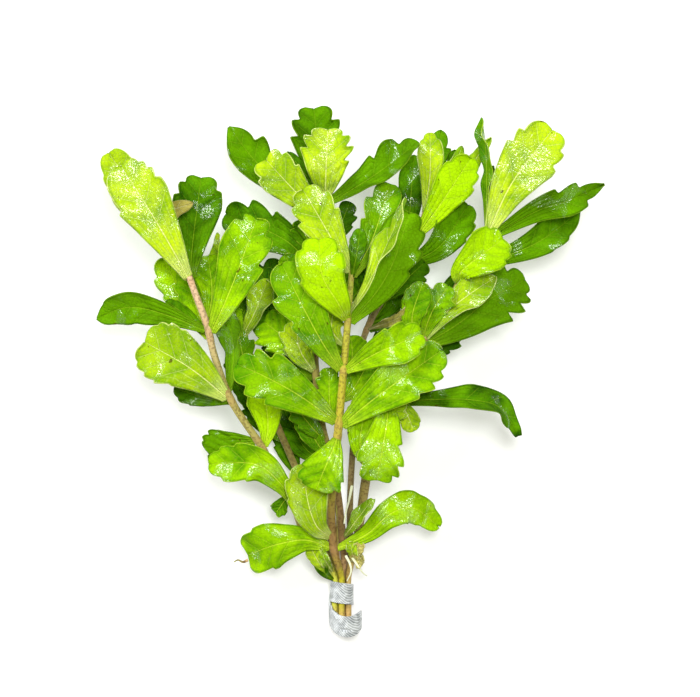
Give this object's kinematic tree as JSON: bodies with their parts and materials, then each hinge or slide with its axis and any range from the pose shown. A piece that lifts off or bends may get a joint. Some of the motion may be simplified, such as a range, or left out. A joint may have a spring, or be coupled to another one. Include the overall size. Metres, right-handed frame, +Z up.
{
  "type": "mexican oak leaf",
  "caption": "Tied bunch of Mexican oak leaf cuttings for an aquarium: lobed bright green leaves on slim brown stems, held by a coiled soft metal weight strip, lying flat.",
  "frame": {"origin": "middle of the flat patch under the weight strip, on the surface that the bunch lies on", "axes": "+Y from the tied cut ends towards the leaf tips, +Z up from the surface, +X to the right of someone who looks down with the tips away from them"},
  "size_m": [0.1825, 0.1928, 0.0606],
  "materials": {
    "leaf_pale": "wet, fresh yellow-green leaf",
    "leaf_mid": "wet mid-green leaf",
    "leaf_dark": "wet dark green leaf",
    "stem": "ribbed olive and brown stem",
    "weight_strip": "dull grey soft metal with a fine pressed pattern"
  },
  "bodies": {
    "root": {"leaf_front_foot_left": "leaf_mid", "leaf_front_foot_right": "leaf_mid", "leaf_front_foot_up": "leaf_pale", "leaf_front_hanging": "leaf_mid", "leaf_front_lower_left": "leaf_mid", "leaf_front_lower_right": "leaf_mid", "leaf_front_middle_left": "leaf_mid", "leaf_front_middle_right": "leaf_mid", "leaf_front_tip_left": "leaf_pale", "leaf_front_tip_right": "leaf_mid", "leaf_front_upper_edge": "leaf_pale", "leaf_front_upper_left": "leaf_mid", "leaf_front_upper_right": "leaf_dark", "leaf_left_back_dark": "leaf_dark", "leaf_left_back_hanging": "leaf_pale", "leaf_left_back_low": "leaf_dark", "leaf_left_foot": "leaf_mid", "leaf_left_lower_dark": "leaf_dark", "leaf_left_lower_up": "leaf_mid", "leaf_left_middle_front": "leaf_pale", "leaf_left_middle_side": "leaf_dark", "leaf_left_tip_back": "leaf_pale", "leaf_left_tip_dark": "leaf_dark", "leaf_left_tip_front": "leaf_pale", "leaf_left_upper_behind": "leaf_mid", "leaf_left_upper_between": "leaf_mid", "leaf_left_upper_left": "leaf_dark", "leaf_left_upper_right": "leaf_mid", "leaf_middle_dark": "leaf_dark", "leaf_middle_left": "leaf_mid", "leaf_middle_low_dark": "leaf_dark", "leaf_middle_pale": "leaf_pale", "leaf_middle_tip_back": "leaf_dark", "leaf_middle_tip_far_left": "leaf_dark", "leaf_middle_tip_front": "leaf_pale", "leaf_middle_tip_left": "leaf_pale", "leaf_middle_tip_right": "leaf_dark", "leaf_middle_upper_left": "leaf_dark", "leaf_right_back_low": "leaf_dark", "leaf_right_back_tip_dark": "leaf_dark", "leaf_right_back_tip_front": "leaf_pale", "leaf_right_back_tip_right": "leaf_mid", "leaf_right_back_upper": "leaf_dark", "leaf_right_lower_far": "leaf_dark", "leaf_right_lower_hanging": "leaf_mid", "leaf_right_lower_up": "leaf_mid", "leaf_right_middle_big": "leaf_dark", "leaf_right_middle_edge": "leaf_pale", "leaf_right_tip_edge": "leaf_mid", "leaf_right_tip_front": "leaf_pale", "leaf_right_tip_right": "leaf_dark", "leaf_right_upper_front": "leaf_mid", "leaf_right_upper_right": "leaf_dark", "stem_front": "stem", "stem_left": "stem", "stem_left_back": "stem", "stem_middle": "stem", "stem_right": "stem", "stem_right_back": "stem", "weight_strip": "weight_strip"}
  },
  "joints": []
}
